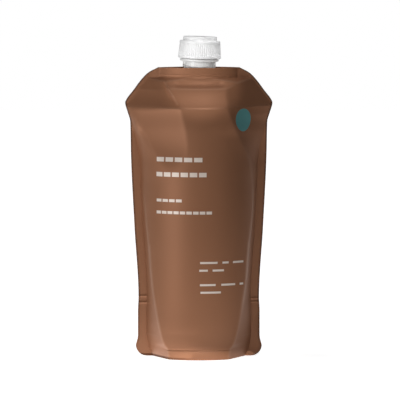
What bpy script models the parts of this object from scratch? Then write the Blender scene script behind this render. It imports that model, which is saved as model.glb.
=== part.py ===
"""A filled stand-up refill pouch for body wash, with a moulded spout and a ribbed screw cap.

The film pouch and its contents are one closed solid: flat welded sides, a hem that stands on the
floor, a gusset that sags between its two walls, and a front whose creases meet at the shoulders.
Metres, +Z up, the printed front towards -Y, the origin on the floor under the middle of the pouch.
"""

import math

import bmesh
import bpy
import numpy as np
from mathutils import Matrix, Vector

# Film pouch, overall
FILM_TOP = 0.1930            # height of the film's top edge
TOP_HALF_WIDTH = 0.0270      # half of the straight top edge
TIP_DROP = 0.0234            # from the top edge down to the shoulder tips
TIP_HALF_WIDTH = 0.0490      # half the width across the shoulder tips
NECK_IN_DROP = 0.0364        # from the top edge down to where the full body begins
BODY_HALF_WIDTH = 0.0456     # half the width just under the shoulders
WAIST_HALF_WIDTH = 0.0403    # half the width at the gusset's fold
GUSSET_FOLD = 0.0392         # height of the gusset's fold at the side seals
FOOT_HALF_WIDTH = 0.0421     # half the width of the flared foot
FOOT_CORNER_RADIUS = 0.0073  # round corners of the foot
SIDE_SEAL = 0.0056           # width of the welded sides
SHOULDER_MARGIN = 0.0018     # plain margin along the shoulders' slanted edges
FILM_EDGE = 0.0006           # both films together at a welded edge
FILM_WALL = 0.0006           # film where it stands free, at the hem and around the spout

# Front and back, depths measured from the plane of the side seals
FRONT_DEPTH = 0.0286
BACK_DEPTH = 0.0286
BODY_RADIUS = 0.0415         # radius of the full body's front and back
SHOULDER_RADIUS = 0.0700     # flatter radius under the shoulder crease
RIDGE_MARGIN = 0.0014        # the ridges stay this far inside the side seals
CREASE_DROP = 0.0265         # from the top edge down to the shoulder crease
CREASE_DEPTH = 0.0240        # depth of the front at the shoulder crease
HEM_HEIGHT = 0.0066          # height of the bottom weld
HEM_DEPTH = 0.0272           # depth of the front hem on the floor
TOP_SEAL = 0.0068            # height of the weld around the spout

# Shoulder panels: the middle panel leans back between two side panels
PANEL_TOP_LEFT = -0.0240
PANEL_TOP_RIGHT = 0.0250
PANEL_FOOT_LEFT = -0.0120
PANEL_FOOT_RIGHT = 0.0194
PANEL_CROWN = 6.5            # how much the middle panel is rounded, per metre
LEFT_SLOPE_ACROSS = 0.60     # the left panel and the flat facet under it fall alike, so their
LEFT_SLOPE_UP = 0.52         # crease runs level
RIGHT_SLOPE_ACROSS = 0.69
RIGHT_SLOPE_UP = 0.52
FACET_EDGE = 0.0125          # where the flat facet begins at the crease, left of the middle
FACET_CUT = 0.0010           # its depth below the rounded panel there
FACET_LEAN = 0.25            # how far the facet's inner edge runs inwards for each metre down
FACET_LEAN_DROP = 0.0300     # down to this far below the crease
FACET_FLATTENING = 0.09      # how much it has turned to face forwards there
FACET_RUNOUT_DROP = 0.0180   # below the crease, from where the facet fades into the round body
FACET_RUNOUT = 0.12
PANEL_STEP_SLOPE = 0.95      # the short step beside the middle panel's left edge

# Creases, as the depth over which two faces of the film are blended
SHARP_CREASE = 0.0004
CREASE = 0.0007
SOFT_CREASE = 0.0012

# Back: plain shoulders, one middle panel and two side panels
BACK_CREASE_DEPTH = 0.0230
BACK_SIDE_REACH = 0.0103     # how far out of the crease the side panels begin
BACK_SLOPE_ACROSS = 0.64
BACK_SLOPE_UP = 0.50

# Underside
FLOOR_PATCH_X = 0.0130       # half length of the flat patch on which the filled gusset rests
FLOOR_PATCH_Y = 0.0085
GUSSET_ARCH = 0.0042         # rise of the gusset behind the hem
FOLD_RISE = 0.0040           # further rise along the gusset's fold towards the sides

# Spout: a boat welded between the films, a neck, a carrying flange and a threaded mouth
BOAT_HALF_LENGTH = 0.0265
BOAT_HALF_THICKNESS = 0.0105
BOAT_ROUNDNESS = 2.2
BOAT_TOP_DROP = 0.0022       # boat's top below the film's edge
BOAT_HEIGHT = 0.0104
BOAT_TIP = 0.0006            # half the thickness of its blunt tips
BOAT_GROOVES = 3             # welding grooves round the boat
GROOVE_DEPTH = 0.0004
GROOVE_WIDTH = 0.0012
FILM_GAP = 0.0003            # between the spout and the film
NECK_RADIUS = 0.01095
NECK_ROOT_RADIUS = 0.0102    # between the films
FLANGE_RADIUS = 0.0128
FLANGE_THICKNESS = 0.0016
FLANGE_RISE = 0.0041         # from the film's edge up to the flange
MOUTH_RADIUS = 0.0100        # root of the thread
MOUTH_HEIGHT = 0.0092        # from the flange's top to the rim
BORE_RADIUS = 0.0080
RIM_BEVEL = 0.0004
OUTLET_WALL = 0.0015         # wall of the short outlet under the boat
OUTLET_LENGTH = 0.0010

# Cap and its sealing disc
CAP_GAP = 0.0003             # between the flange and the cap, and around the disc
CAP_TOP_RADIUS = 0.01350
CAP_FOOT_RADIUS = 0.01420
CAP_SKIRT = 0.0117
CAP_BORE_RADIUS = 0.01180
CAP_CROWN_RADIUS = 0.01130
CAP_CROWN_HEIGHT = 0.0028
CAP_WALL = 0.0016            # over the hollow in the crown
CAP_EDGE = 0.0006            # rounding of the cap's rims
CAP_RIBS = 60
RIB_DEPTH = 0.00028
RIB_MARGIN = 0.0014          # plain band above and below the ribs
DISC_RADIUS = 0.01120
DISC_THICKNESS = 0.0010

# The head leans a little, as a spout held by soft film does
HEAD_LEAN = math.radians(1.9)
HEAD_PIVOT_DROP = 0.0070     # the point about which it leans, below the film's edge

# Fineness of the film's surface and of the turned pieces
ROWS_BODY = 22
COLUMNS_SIDE = 9
COLUMNS_FRONT = 18
UNDERSIDE_STEPS = 12
TURN_STEPS = 48

TIP_HEIGHT = FILM_TOP - TIP_DROP
CREASE_HEIGHT = FILM_TOP - CREASE_DROP
SEAL_HEIGHT = FILM_TOP - TOP_SEAL
HALF_EDGE = FILM_EDGE / 2


def smooth_curve(points, at):
    """A smooth curve through points (position, value), which never overshoots them."""
    x = np.array([p[0] for p in points])
    y = np.array([p[1] for p in points])
    step = np.diff(x)
    slope = np.diff(y) / step
    tangent = np.zeros(len(x))
    same_way = slope[1:] * slope[:-1] > 0
    mean = 2 * slope[1:] * slope[:-1] / np.where(same_way, slope[1:] + slope[:-1], 1.0)
    tangent[1:-1] = np.where(same_way, mean, 0.0)
    tangent[0], tangent[-1] = slope[0], slope[-1]
    at = np.clip(at, x[0], x[-1])
    k = np.clip(np.searchsorted(x, at, side="right") - 1, 0, len(step) - 1)
    t = (at - x[k]) / step[k]
    rise = (1 + 2 * t) * (1 - t) ** 2 * y[k] + t**2 * (3 - 2 * t) * y[k + 1]
    lean = t * (1 - t) ** 2 * tangent[k] - t**2 * (1 - t) * tangent[k + 1]
    return rise + step[k] * lean


def fade(low, high, at):
    """0 below low, 1 above high, smooth in between."""
    t = np.clip((at - low) / (high - low), 0, 1)
    return t * t * (3 - 2 * t)


def lower_of(a, b, blend):
    """The lower of two surfaces, with their crease rounded over a depth of blend."""
    h = np.clip(0.5 + 0.5 * (b - a) / blend, 0, 1)
    return b + (a - b) * h - blend * h * (1 - h)


def higher_of(a, b, blend):
    return -lower_of(-a, -b, blend)


def half_width(z):
    """Half the pouch's width at a height: round foot, slight waist, full body, shoulder tips."""
    outline = [
        (FOOT_CORNER_RADIUS, FOOT_HALF_WIDTH),
        (0.0140, FOOT_HALF_WIDTH - 0.0014),
        (0.0300, FOOT_HALF_WIDTH - 0.0014),
        (GUSSET_FOLD, WAIST_HALF_WIDTH),
        (FILM_TOP * 0.45, (WAIST_HALF_WIDTH + BODY_HALF_WIDTH) / 2),
        (FILM_TOP - 0.0580, BODY_HALF_WIDTH - 0.0004),
        (FILM_TOP - NECK_IN_DROP, BODY_HALF_WIDTH),
        (TIP_HEIGHT - 0.0060, TIP_HALF_WIDTH - 0.0015),
        (TIP_HEIGHT, TIP_HALF_WIDTH),
        (TIP_HEIGHT + 0.0020, TIP_HALF_WIDTH - 0.0008),
        (FILM_TOP - 0.0154, TIP_HALF_WIDTH - 0.0053),
        (FILM_TOP - 0.0075, TIP_HALF_WIDTH - 0.0113),
        (FILM_TOP - 0.0035, TOP_HALF_WIDTH + 0.0066),
        (FILM_TOP, TOP_HALF_WIDTH),
    ]
    width = smooth_curve(outline, z)
    sag = np.clip(FOOT_CORNER_RADIUS - z, 0, FOOT_CORNER_RADIUS)
    return width - FOOT_CORNER_RADIUS + np.sqrt(FOOT_CORNER_RADIUS**2 - sag**2)


def seal_line(z):
    """Where the contents begin to part the films. Above the crease the side panels lie flat right
    up to the edge, so the line runs close to it there."""
    foot = [(0.0, 0.0310), (0.0070, 0.0338), (0.0150, FOOT_HALF_WIDTH - 0.0014 - SIDE_SEAL)]
    at_foot = smooth_curve(foot, z)
    above = fade(CREASE_HEIGHT - 0.0060, CREASE_HEIGHT + 0.0030, z)
    margin = SIDE_SEAL + (SHOULDER_MARGIN - SIDE_SEAL) * above
    return np.where(z < foot[-1][0], at_foot, half_width(z) - margin)


def low_ridge():
    """The ridges that the gusset spreads at the foot, as (height, distance from the middle)."""
    return [
        (0.0, 0.0198), (HEM_HEIGHT, 0.0207), (0.0095, 0.0228), (0.0140, 0.0245), (0.0240, 0.0268),
        (0.0340, 0.0286), (0.0470, 0.0306), (0.0570, 0.0318), (0.0740, 0.0331), (0.0870, 0.0346),
    ]


def side_ridge(z):
    """A ridge that rises beside the side seal up to the shoulder."""
    high = [(0.1040, 0.0365), (0.1170, 0.0378), (CREASE_HEIGHT - 0.0200, 0.0395), (CREASE_HEIGHT, 0.0405)]
    return np.minimum(smooth_curve(low_ridge() + high, z), seal_line(z) - RIDGE_MARGIN)


def panel_ridge(z):
    """The front's right ridge, which leaves the side and runs in to the foot of the middle panel."""
    high = [
        (0.1000, 0.0360), (0.1150, 0.0362), (CREASE_HEIGHT - 0.0365, 0.0340), (CREASE_HEIGHT - 0.0185, 0.0268),
        (CREASE_HEIGHT - 0.0078, 0.0220), (CREASE_HEIGHT, PANEL_FOOT_RIGHT),
    ]
    return np.minimum(smooth_curve(low_ridge() + high, z), seal_line(z) - RIDGE_MARGIN)


def middle_depth(z, depth, crease_depth):
    """Depth of the body on its centre line."""
    line = [
        (0.0, HEM_DEPTH * depth / FRONT_DEPTH),
        (HEM_HEIGHT, depth - 0.0003),
        (0.0250, depth),
        (0.0700, depth - 0.0002),
        (CREASE_HEIGHT - 0.0550, depth - 0.0012),
        (CREASE_HEIGHT - 0.0150, crease_depth + 0.0014),
        (CREASE_HEIGHT, crease_depth),
        (FILM_TOP, crease_depth),
    ]
    return smooth_curve(line, z)


def body_surface(x, z, depth, crease_depth, right_ridge=side_ridge):
    """The full body: a round panel between two ridges, with flanks that run from them to the seals."""
    middle = middle_depth(z, depth, crease_depth)
    seal = seal_line(z)
    through_seal = (seal**2 + middle**2) / (2 * middle)
    radius = np.maximum(BODY_RADIUS, through_seal)
    radius = radius + (SHOULDER_RADIUS - radius) * fade(CREASE_HEIGHT - 0.0200, CREASE_HEIGHT, z)
    arc = np.sqrt(np.maximum(radius**2 - x**2, 0)) - radius + middle
    ridge = np.where(x < 0, side_ridge(z), right_ridge(z))
    at_ridge = np.sqrt(radius**2 - ridge**2) - radius + middle
    flank = HALF_EDGE + (at_ridge - HALF_EDGE) * (seal - np.abs(x)) / (seal - ridge)
    return lower_of(arc, flank, SHARP_CREASE)


def boat_half_thickness(x):
    """Half the boat's thickness along its length, a lens with blunt tips."""
    share = np.clip(np.abs(x) / BOAT_HALF_LENGTH, 0, 1)
    return np.maximum(BOAT_HALF_THICKNESS * (1 - share**BOAT_ROUNDNESS), BOAT_TIP)


def film_over_boat(x):
    """The film where it is welded round the boat, flat beyond the boat's tips."""
    proud = boat_half_thickness(x) + FILM_GAP + FILM_WALL - HALF_EDGE
    past_tip = np.abs(x) - BOAT_HALF_LENGTH
    return HALF_EDGE + proud * (1 - fade(FILM_GAP + FILM_WALL, 0.0080, past_tip))


def seal_surface(surface, x, z):
    """The upper film: it hugs the boat in the top weld and is held off by the boat's foot."""
    over = film_over_boat(x)
    boat_foot = FILM_TOP - BOAT_TOP_DROP - BOAT_HEIGHT
    opening = over + 2.2 * np.maximum(SEAL_HEIGHT - z, 0)
    held_off = over - 2.5 * np.maximum(boat_foot - 0.0010 - z, 0)
    return higher_of(lower_of(surface, opening, 0.0005), held_off, 0.0002)


def front_surface(x, z):
    """Depth of the front at (x, z), from the plane of the side seals."""
    body = body_surface(x, z, FRONT_DEPTH, CREASE_DEPTH, panel_ridge)

    # A flat facet on the left, whose inner edge runs down towards the middle
    down = np.maximum(CREASE_HEIGHT - z, 0)
    slope = LEFT_SLOPE_ACROSS - FACET_FLATTENING * fade(0.0, FACET_LEAN_DROP, down)
    edge = FACET_EDGE - FACET_LEAN * np.minimum(down, FACET_LEAN_DROP)
    level = middle_depth(z, FRONT_DEPTH, CREASE_DEPTH) - FACET_CUT
    level = level + FACET_RUNOUT * np.maximum(down - FACET_RUNOUT_DROP, 0)
    body = lower_of(body, level + slope * (x + edge), CREASE)

    # The shoulder's three panels
    up = z - CREASE_HEIGHT
    rise = SEAL_HEIGHT - CREASE_HEIGHT
    fall = (CREASE_DEPTH - BOAT_HALF_THICKNESS - FILM_WALL - FILM_GAP) / rise
    middle = CREASE_DEPTH - fall * up - PANEL_CROWN * x**2
    left_edge = PANEL_FOOT_LEFT + (PANEL_TOP_LEFT - PANEL_FOOT_LEFT) * np.clip(up / rise, 0, 1)
    left = CREASE_DEPTH - FACET_CUT + LEFT_SLOPE_ACROSS * (x + FACET_EDGE) - LEFT_SLOPE_UP * up
    step = CREASE_DEPTH - fall * up - PANEL_CROWN * left_edge**2 + PANEL_STEP_SLOPE * (x - left_edge)
    left = higher_of(left, step, CREASE)
    right = CREASE_DEPTH - PANEL_CROWN * PANEL_FOOT_RIGHT**2
    right = right - RIGHT_SLOPE_ACROSS * (x - PANEL_FOOT_RIGHT) - RIGHT_SLOPE_UP * up
    shoulder = lower_of(lower_of(middle, left, SHARP_CREASE), right, CREASE)

    front = seal_surface(lower_of(body, shoulder, CREASE), x, z)
    return np.maximum(front, HALF_EDGE)


def back_surface(x, z):
    """Depth of the back at (x, z): the same bag with plainer shoulder panels."""
    body = body_surface(x, z, BACK_DEPTH, BACK_CREASE_DEPTH)
    up = z - CREASE_HEIGHT
    fall = (BACK_CREASE_DEPTH - BOAT_HALF_THICKNESS) / (SEAL_HEIGHT - CREASE_HEIGHT)
    middle = BACK_CREASE_DEPTH - fall * up - PANEL_CROWN * x**2
    side = BACK_CREASE_DEPTH + BACK_SIDE_REACH - BACK_SLOPE_ACROSS * np.abs(x) - BACK_SLOPE_UP * up
    shoulder = lower_of(middle, side, SOFT_CREASE)
    back = seal_surface(lower_of(body, shoulder, SOFT_CREASE), x, z)
    return np.maximum(back, HALF_EDGE)


def row_heights():
    """Heights of the film's rows: close at the foot, the crease and the top weld."""
    foot = np.array([0.0, 0.0008, 0.0022, 0.0042, HEM_HEIGHT - 0.0005, HEM_HEIGHT + 0.0005, 0.0100, 0.0140])
    body = np.linspace(0.0180, CREASE_HEIGHT - 0.0100, ROWS_BODY)
    crease = CREASE_HEIGHT + np.array([-0.0065, -0.0035, -0.0015, -0.0004, 0.0006, 0.0018, 0.0036])
    shoulder = np.linspace(CREASE_HEIGHT + 0.0058, SEAL_HEIGHT - 0.0022, 7)
    seal = SEAL_HEIGHT + np.array([-0.0008, 0.0004, 0.0020])
    top = FILM_TOP - np.array([0.0030, 0.0018, 0.0008, 0.0])
    return np.concatenate([foot, body, crease, shoulder, seal, top])


def guide_lines(z):
    """Left and right lines that the columns follow: the lower ridges, then the panel's edges."""
    left = [
        (0.1170, 0.0345), (CREASE_HEIGHT - 0.0200, 0.0220), (CREASE_HEIGHT, -PANEL_FOOT_LEFT),
        (SEAL_HEIGHT, -PANEL_TOP_LEFT), (FILM_TOP, -PANEL_TOP_LEFT * 0.9),
    ]
    right = [(CREASE_HEIGHT, PANEL_FOOT_RIGHT), (SEAL_HEIGHT, PANEL_TOP_RIGHT), (FILM_TOP, PANEL_TOP_RIGHT * 0.9)]
    right = np.where(z < CREASE_HEIGHT, panel_ridge(z), smooth_curve(right, z))
    return -smooth_curve(low_ridge() + left, z), right


def column_places(z):
    """The x of every column in one row, from the left edge to the right edge."""
    z = np.array([z])
    edge = float(half_width(z)[0])
    seal = min(float(seal_line(z)[0]), edge - 0.0016)
    left, right = (float(v[0]) for v in guide_lines(z))
    left = max(left, -seal + 0.0030)
    right = min(right, seal - 0.0030)
    stretches = [
        np.linspace(-edge, -seal, 3)[:-1],
        np.linspace(-seal, left, COLUMNS_SIDE + 1)[:-1],
        np.linspace(left, right, COLUMNS_FRONT + 1)[:-1],
        np.linspace(right, seal, COLUMNS_SIDE + 1)[:-1],
        np.linspace(seal, edge, 3),
    ]
    return np.concatenate(stretches)


def underside_height(x, y, front, back):
    """Height of the gusset over the floor: flat in the middle, raised behind the hem."""
    reach = np.hypot(x / FLOOR_PATCH_X, y / FLOOR_PATCH_Y)
    inner = np.minimum(front, back) - FILM_WALL
    near_hem = 1 - fade(0.0, 1.0, (np.abs(y) - inner * 0.2) / np.maximum(inner * 0.7, 1e-6)) * 0.35
    arch = GUSSET_ARCH * fade(1.0, 2.1, reach) * near_hem
    fold = FOLD_RISE * fade(0.014, 0.026, np.abs(x)) * (1 - np.clip(np.abs(y) / 0.012, 0, 1))
    return (arch + fold) * fade(0.0, 0.006, inner - 0.003)


def make_pouch():
    """The film bag and what fills it, as one closed solid."""
    heights = row_heights()
    mesh = bmesh.new()
    front, back = [], []
    for z in heights:
        x = column_places(z)
        level = np.full_like(x, z)
        front.append([mesh.verts.new((a, -d, z)) for a, d in zip(x, front_surface(x, level))])
        back.append([mesh.verts.new((a, d, z)) for a, d in zip(x, back_surface(x, level))])
    rows, columns = len(front), len(front[0])
    for i in range(rows - 1):
        for j in range(columns - 1):
            mesh.faces.new((front[i][j], front[i][j + 1], front[i + 1][j + 1], front[i + 1][j]))
            mesh.faces.new((back[i][j + 1], back[i][j], back[i + 1][j], back[i + 1][j + 1]))
        mesh.faces.new((back[i][0], front[i][0], front[i + 1][0], back[i + 1][0]))
        mesh.faces.new((front[i][-1], back[i][-1], back[i + 1][-1], front[i + 1][-1]))
    for j in range(columns - 1):
        mesh.faces.new((front[-1][j], front[-1][j + 1], back[-1][j + 1], back[-1][j]))
    close_underside(mesh, front[0], back[0])
    for face in mesh.faces:
        face.smooth = True
    bmesh.ops.recalc_face_normals(mesh, faces=mesh.faces)
    return finish_object(mesh, "pouch")


def close_underside(mesh, front, back):
    """Hem walls, then the gusset between them; the welded ends are flat."""
    columns = len(front)
    first, last = 3, columns - 4
    lines = {}
    for j in range(first, last + 1):
        x = front[j].co.x
        reach_front, reach_back = -front[j].co.y, back[j].co.y
        wall = min(FILM_WALL, 0.4 * min(reach_front, reach_back))
        spread = np.linspace(-1, 1, UNDERSIDE_STEPS - 1)
        y = np.where(spread < 0, spread * (reach_front - wall), spread * (reach_back - wall))
        z = underside_height(np.full_like(y, x), y, reach_front, reach_back)
        inside = [mesh.verts.new((x, b, c)) for b, c in zip(y, z)]
        lines[j] = [front[j], *inside, back[j]]
    for j in range(first, last):
        for near, far in zip(range(len(lines[j]) - 1), range(1, len(lines[j]))):
            mesh.faces.new((lines[j][near], lines[j][far], lines[j + 1][far], lines[j + 1][near]))
    mesh.faces.new((front[first - 1], back[first - 1], *reversed(lines[first])))
    mesh.faces.new((back[last + 1], front[last + 1], *lines[last]))
    for j in (*range(first - 1), *range(last + 1, columns - 1)):
        mesh.faces.new((front[j], back[j], back[j + 1], front[j + 1]))


def loft(mesh, loops):
    """A closed solid through loops of points, from the lowest loop to the highest."""
    rings = [[mesh.verts.new(point) for point in loop] for loop in loops]
    count = len(rings[0])
    mesh.faces.new(rings[0][::-1])
    mesh.faces.new(rings[-1])
    for low, high in zip(rings, rings[1:]):
        for k in range(count):
            after = (k + 1) % count
            mesh.faces.new((low[k], low[after], high[after], high[k]))


def turned(profile, steps=TURN_STEPS, radius_at=None):
    """Rings up a profile of (radius, height); radius_at may change a ring's radius per step."""
    rings = []
    for index, (radius, height) in enumerate(profile):
        ring = []
        for k in range(steps):
            angle = 2 * math.pi * k / steps
            reach = radius_at(index, k, radius) if radius_at else radius
            ring.append((reach * math.cos(angle), reach * math.sin(angle), height))
        rings.append(ring)
    return rings


def make_solid(name, loops):
    mesh = bmesh.new()
    loft(mesh, loops)
    return finish_object(mesh, name)


def finish_object(mesh, name):
    """Writes a bmesh to a named object with smooth rounds and crisp edges."""
    bmesh.ops.recalc_face_normals(mesh, faces=mesh.faces)
    data = bpy.data.meshes.new(name)
    mesh.to_mesh(data)
    mesh.free()
    data.shade_smooth()
    data.set_sharp_from_angle(angle=math.radians(35))
    made = bpy.data.objects.new(name, data)
    bpy.context.collection.objects.link(made)
    return made


def boat_loop(height, grow=0.0):
    """The boat's plan at a height, grown all round by a clearance or shrunk by a groove."""
    x = BOAT_HALF_LENGTH * np.sin(np.linspace(-math.pi / 2, math.pi / 2, 17))
    side = np.maximum(boat_half_thickness(x) + grow, BOAT_TIP)
    x = x * (1 + grow / BOAT_HALF_LENGTH)
    front = [(a, -b, height) for a, b in zip(x, side)]
    back = [(a, b, height) for a, b in zip(x[::-1], side[::-1])]
    return front + back


def apply_boolean(target, cutter, operation):
    """Cuts or joins one object with another and removes the second."""
    step = target.modifiers.new(operation.lower(), "BOOLEAN")
    step.operation = operation
    step.object = cutter
    step.solver = "EXACT"
    shape = target.evaluated_get(bpy.context.evaluated_depsgraph_get())
    target.data = bpy.data.meshes.new_from_object(shape)
    target.modifiers.clear()
    bpy.data.objects.remove(cutter)


def make_spout():
    """Boat with welding grooves, neck, flange and mouth, all on one bore."""
    boat_top = FILM_TOP - BOAT_TOP_DROP
    boat_foot = boat_top - BOAT_HEIGHT
    flange = FILM_TOP + FLANGE_RISE
    rim = flange + FLANGE_THICKNESS + MOUTH_HEIGHT

    loops = [boat_loop(boat_foot)]
    for n in range(BOAT_GROOVES):
        low = boat_foot + BOAT_HEIGHT * (n + 0.6) / (BOAT_GROOVES + 0.2) - GROOVE_WIDTH / 2
        loops += [
            boat_loop(low),
            boat_loop(low + GROOVE_DEPTH / 2, -GROOVE_DEPTH),
            boat_loop(low + GROOVE_WIDTH - GROOVE_DEPTH / 2, -GROOVE_DEPTH),
            boat_loop(low + GROOVE_WIDTH),
        ]
    loops.append(boat_loop(boat_top))
    boat = make_solid("boat", loops)

    spout = make_solid("spout", turned([
        (BORE_RADIUS + OUTLET_WALL, boat_foot - OUTLET_LENGTH),
        (BORE_RADIUS + OUTLET_WALL, boat_top - 0.0005),
        (NECK_ROOT_RADIUS, boat_top - 0.0005),
        (NECK_ROOT_RADIUS, FILM_TOP),
        (NECK_RADIUS, FILM_TOP + FILM_GAP),
        (NECK_RADIUS, flange),
        (FLANGE_RADIUS - RIM_BEVEL, flange),
        (FLANGE_RADIUS, flange + RIM_BEVEL),
        (FLANGE_RADIUS, flange + FLANGE_THICKNESS - RIM_BEVEL),
        (FLANGE_RADIUS - RIM_BEVEL, flange + FLANGE_THICKNESS),
        (MOUTH_RADIUS, flange + FLANGE_THICKNESS),
        (MOUTH_RADIUS, rim - RIM_BEVEL),
        (MOUTH_RADIUS - RIM_BEVEL, rim),
    ]))
    apply_boolean(spout, boat, "UNION")

    bore = make_solid("bore", turned([
        (BORE_RADIUS, boat_foot - OUTLET_LENGTH - 0.0010),
        (BORE_RADIUS, rim - RIM_BEVEL),
        (BORE_RADIUS + 2 * RIM_BEVEL, rim + RIM_BEVEL),
    ]))
    apply_boolean(spout, bore, "DIFFERENCE")
    return spout


def cap_levels():
    """Heights of the cap's foot, of its top and of the disc, from the spout's own sizes."""
    foot = FILM_TOP + FLANGE_RISE + FLANGE_THICKNESS + CAP_GAP
    rim = FILM_TOP + FLANGE_RISE + FLANGE_THICKNESS + MOUTH_HEIGHT
    disc = rim + CAP_GAP
    ceiling = disc + DISC_THICKNESS + CAP_GAP
    return foot, foot + CAP_SKIRT, disc, ceiling


def make_cap():
    """Skirt with grip ribs, flat top and raised crown, turned with a plain bore."""
    foot, top, _, ceiling = cap_levels()
    crown = top + CAP_CROWN_HEIGHT
    recess = CAP_CROWN_RADIUS - 0.0020
    profile = [
        (CAP_FOOT_RADIUS - CAP_EDGE / 2, foot),
        (CAP_FOOT_RADIUS, foot + CAP_EDGE / 2),
        (CAP_FOOT_RADIUS, foot + RIB_MARGIN),
        (CAP_FOOT_RADIUS, foot + RIB_MARGIN + 0.0004),
        (CAP_TOP_RADIUS, top - RIB_MARGIN - 0.0004),
        (CAP_TOP_RADIUS, top - RIB_MARGIN),
        (CAP_TOP_RADIUS, top - CAP_EDGE),
        (CAP_TOP_RADIUS - CAP_EDGE * 0.3, top - CAP_EDGE * 0.3),
        (CAP_TOP_RADIUS - CAP_EDGE, top),
        (CAP_CROWN_RADIUS + 0.0002, top),
        (CAP_CROWN_RADIUS, crown - CAP_EDGE),
        (CAP_CROWN_RADIUS - CAP_EDGE * 0.3, crown - CAP_EDGE * 0.3),
        (CAP_CROWN_RADIUS - CAP_EDGE, crown),
    ]
    inside = [
        (CAP_BORE_RADIUS, foot - CAP_EDGE),
        (CAP_BORE_RADIUS, ceiling),
        (recess, ceiling),
        (recess, crown - CAP_WALL),
    ]
    ribbed = (3, 4)

    def radius_at(index, step, radius):
        return radius - RIB_DEPTH * (step % 2) if index in ribbed else radius

    cap = make_solid("cap", turned(profile, 2 * CAP_RIBS, radius_at))
    apply_boolean(cap, make_solid("hollow", turned(inside)), "DIFFERENCE")
    return cap


def make_disc():
    """The sealing disc under the cap's ceiling."""
    low = cap_levels()[2]
    return make_solid("cap_liner", turned([(DISC_RADIUS, low), (DISC_RADIUS, low + DISC_THICKNESS)]))


def cut_spout_pocket(pouch, head):
    """The pocket between the films that holds the boat, and the way down into the contents."""
    foot = FILM_TOP - BOAT_TOP_DROP - BOAT_HEIGHT
    above = FILM_TOP + 0.0050
    pocket = make_solid("pocket", [boat_loop(foot - FILM_GAP, FILM_GAP), boat_loop(above, FILM_GAP)])
    reach = BORE_RADIUS + OUTLET_WALL + FILM_GAP
    well = make_solid("well", turned([
        (reach, foot - OUTLET_LENGTH - FILM_GAP),
        (reach, foot + OUTLET_LENGTH),
    ]))
    for cutter in (pocket, well):
        cutter.data.transform(head)
        apply_boolean(pouch, cutter, "DIFFERENCE")


def film_material():
    return plain_material("brown_film", (0.305, 0.150, 0.089, 1), 0.55)


def plastic_material():
    return plain_material("white_plastic", (0.83, 0.83, 0.83, 1), 0.40)


def liner_material():
    return plain_material("liner_foam", (0.74, 0.75, 0.76, 1), 0.70)


def plain_material(name, colour, roughness):
    material = bpy.data.materials.new(name)
    material.use_nodes = True
    shader = material.node_tree.nodes["Principled BSDF"]
    shader.inputs["Base Color"].default_value = colour
    shader.inputs["Roughness"].default_value = roughness
    shader.inputs["Metallic"].default_value = 0.0
    return material


def main():
    for old in list(bpy.data.objects):
        bpy.data.objects.remove(old)

    pivot = Vector((0, 0, FILM_TOP - HEAD_PIVOT_DROP))
    head = Matrix.Translation(pivot) @ Matrix.Rotation(HEAD_LEAN, 4, "Y") @ Matrix.Translation(-pivot)

    pouch = make_pouch()
    cut_spout_pocket(pouch, head)
    spout, liner, cap = make_spout(), make_disc(), make_cap()

    # One empty holds the leaning head, and its axis is the axis on which the cap turns
    frame = bpy.data.objects.new("head_frame", None)
    bpy.context.collection.objects.link(frame)
    frame.matrix_world = head
    for piece in (spout, liner, cap):
        piece.parent = frame

    plastic = plastic_material()
    pouch.data.materials.append(film_material())
    spout.data.materials.append(plastic)
    cap.data.materials.append(plastic)
    liner.data.materials.append(liner_material())


main()
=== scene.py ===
"""The looks of a filled body wash refill pouch: matte film, a moulded spout and a ribbed screw cap.

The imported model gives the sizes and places. Metres, +Z up, the printed front towards -Y.
"""

import math

import bpy
import numpy as np
from mathutils import Matrix, Vector, noise


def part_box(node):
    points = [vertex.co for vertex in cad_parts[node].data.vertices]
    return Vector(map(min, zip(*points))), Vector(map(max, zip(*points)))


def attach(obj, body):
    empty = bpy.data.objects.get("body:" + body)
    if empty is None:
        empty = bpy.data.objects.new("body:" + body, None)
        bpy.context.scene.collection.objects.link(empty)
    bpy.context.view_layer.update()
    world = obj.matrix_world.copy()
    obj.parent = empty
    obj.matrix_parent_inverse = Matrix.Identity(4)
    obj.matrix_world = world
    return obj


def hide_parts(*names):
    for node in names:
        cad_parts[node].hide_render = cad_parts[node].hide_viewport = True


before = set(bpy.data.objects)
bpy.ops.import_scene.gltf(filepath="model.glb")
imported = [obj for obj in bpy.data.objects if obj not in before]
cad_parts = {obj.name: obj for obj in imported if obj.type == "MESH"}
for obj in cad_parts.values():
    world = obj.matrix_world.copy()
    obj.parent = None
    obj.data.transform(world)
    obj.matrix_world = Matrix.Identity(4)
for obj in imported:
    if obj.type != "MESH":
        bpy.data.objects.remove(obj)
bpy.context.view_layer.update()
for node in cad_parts.values():
    node.select_set(False)


# Film pouch: two walls and a folded gusset of laminated film, welded together along the sides, the
# hem and round the spout, then filled and drawn tight. One closed skin, laid out in rows from the
# hem to the top edge, that follows the welds and folds of the real bag.
film_low, film_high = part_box("pouch")
film_top = film_high.z
film_edge_half = 0.0003
film_wall = 0.0006
body_depth = -film_low.y
crease_depth = 0.0240
crease_height = film_top - 0.0265
weld_height = film_top - 0.0068
hem_height = 0.0066
hem_depth = 0.0272
body_radius = 0.0415
shoulder_radius = 0.0700
foot_corner = 0.0073
side_weld = 0.0056
panel_top_left, panel_top_right = -0.0240, 0.0250
panel_foot_left, panel_foot_right = -0.0120, 0.0194
boat_half_length = 0.0265
boat_half_thickness = 0.0105
boat_tip = 0.0006
boat_fullness = 2.2
boat_top = film_top - 0.0022
boat_foot = boat_top - 0.0104


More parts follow.
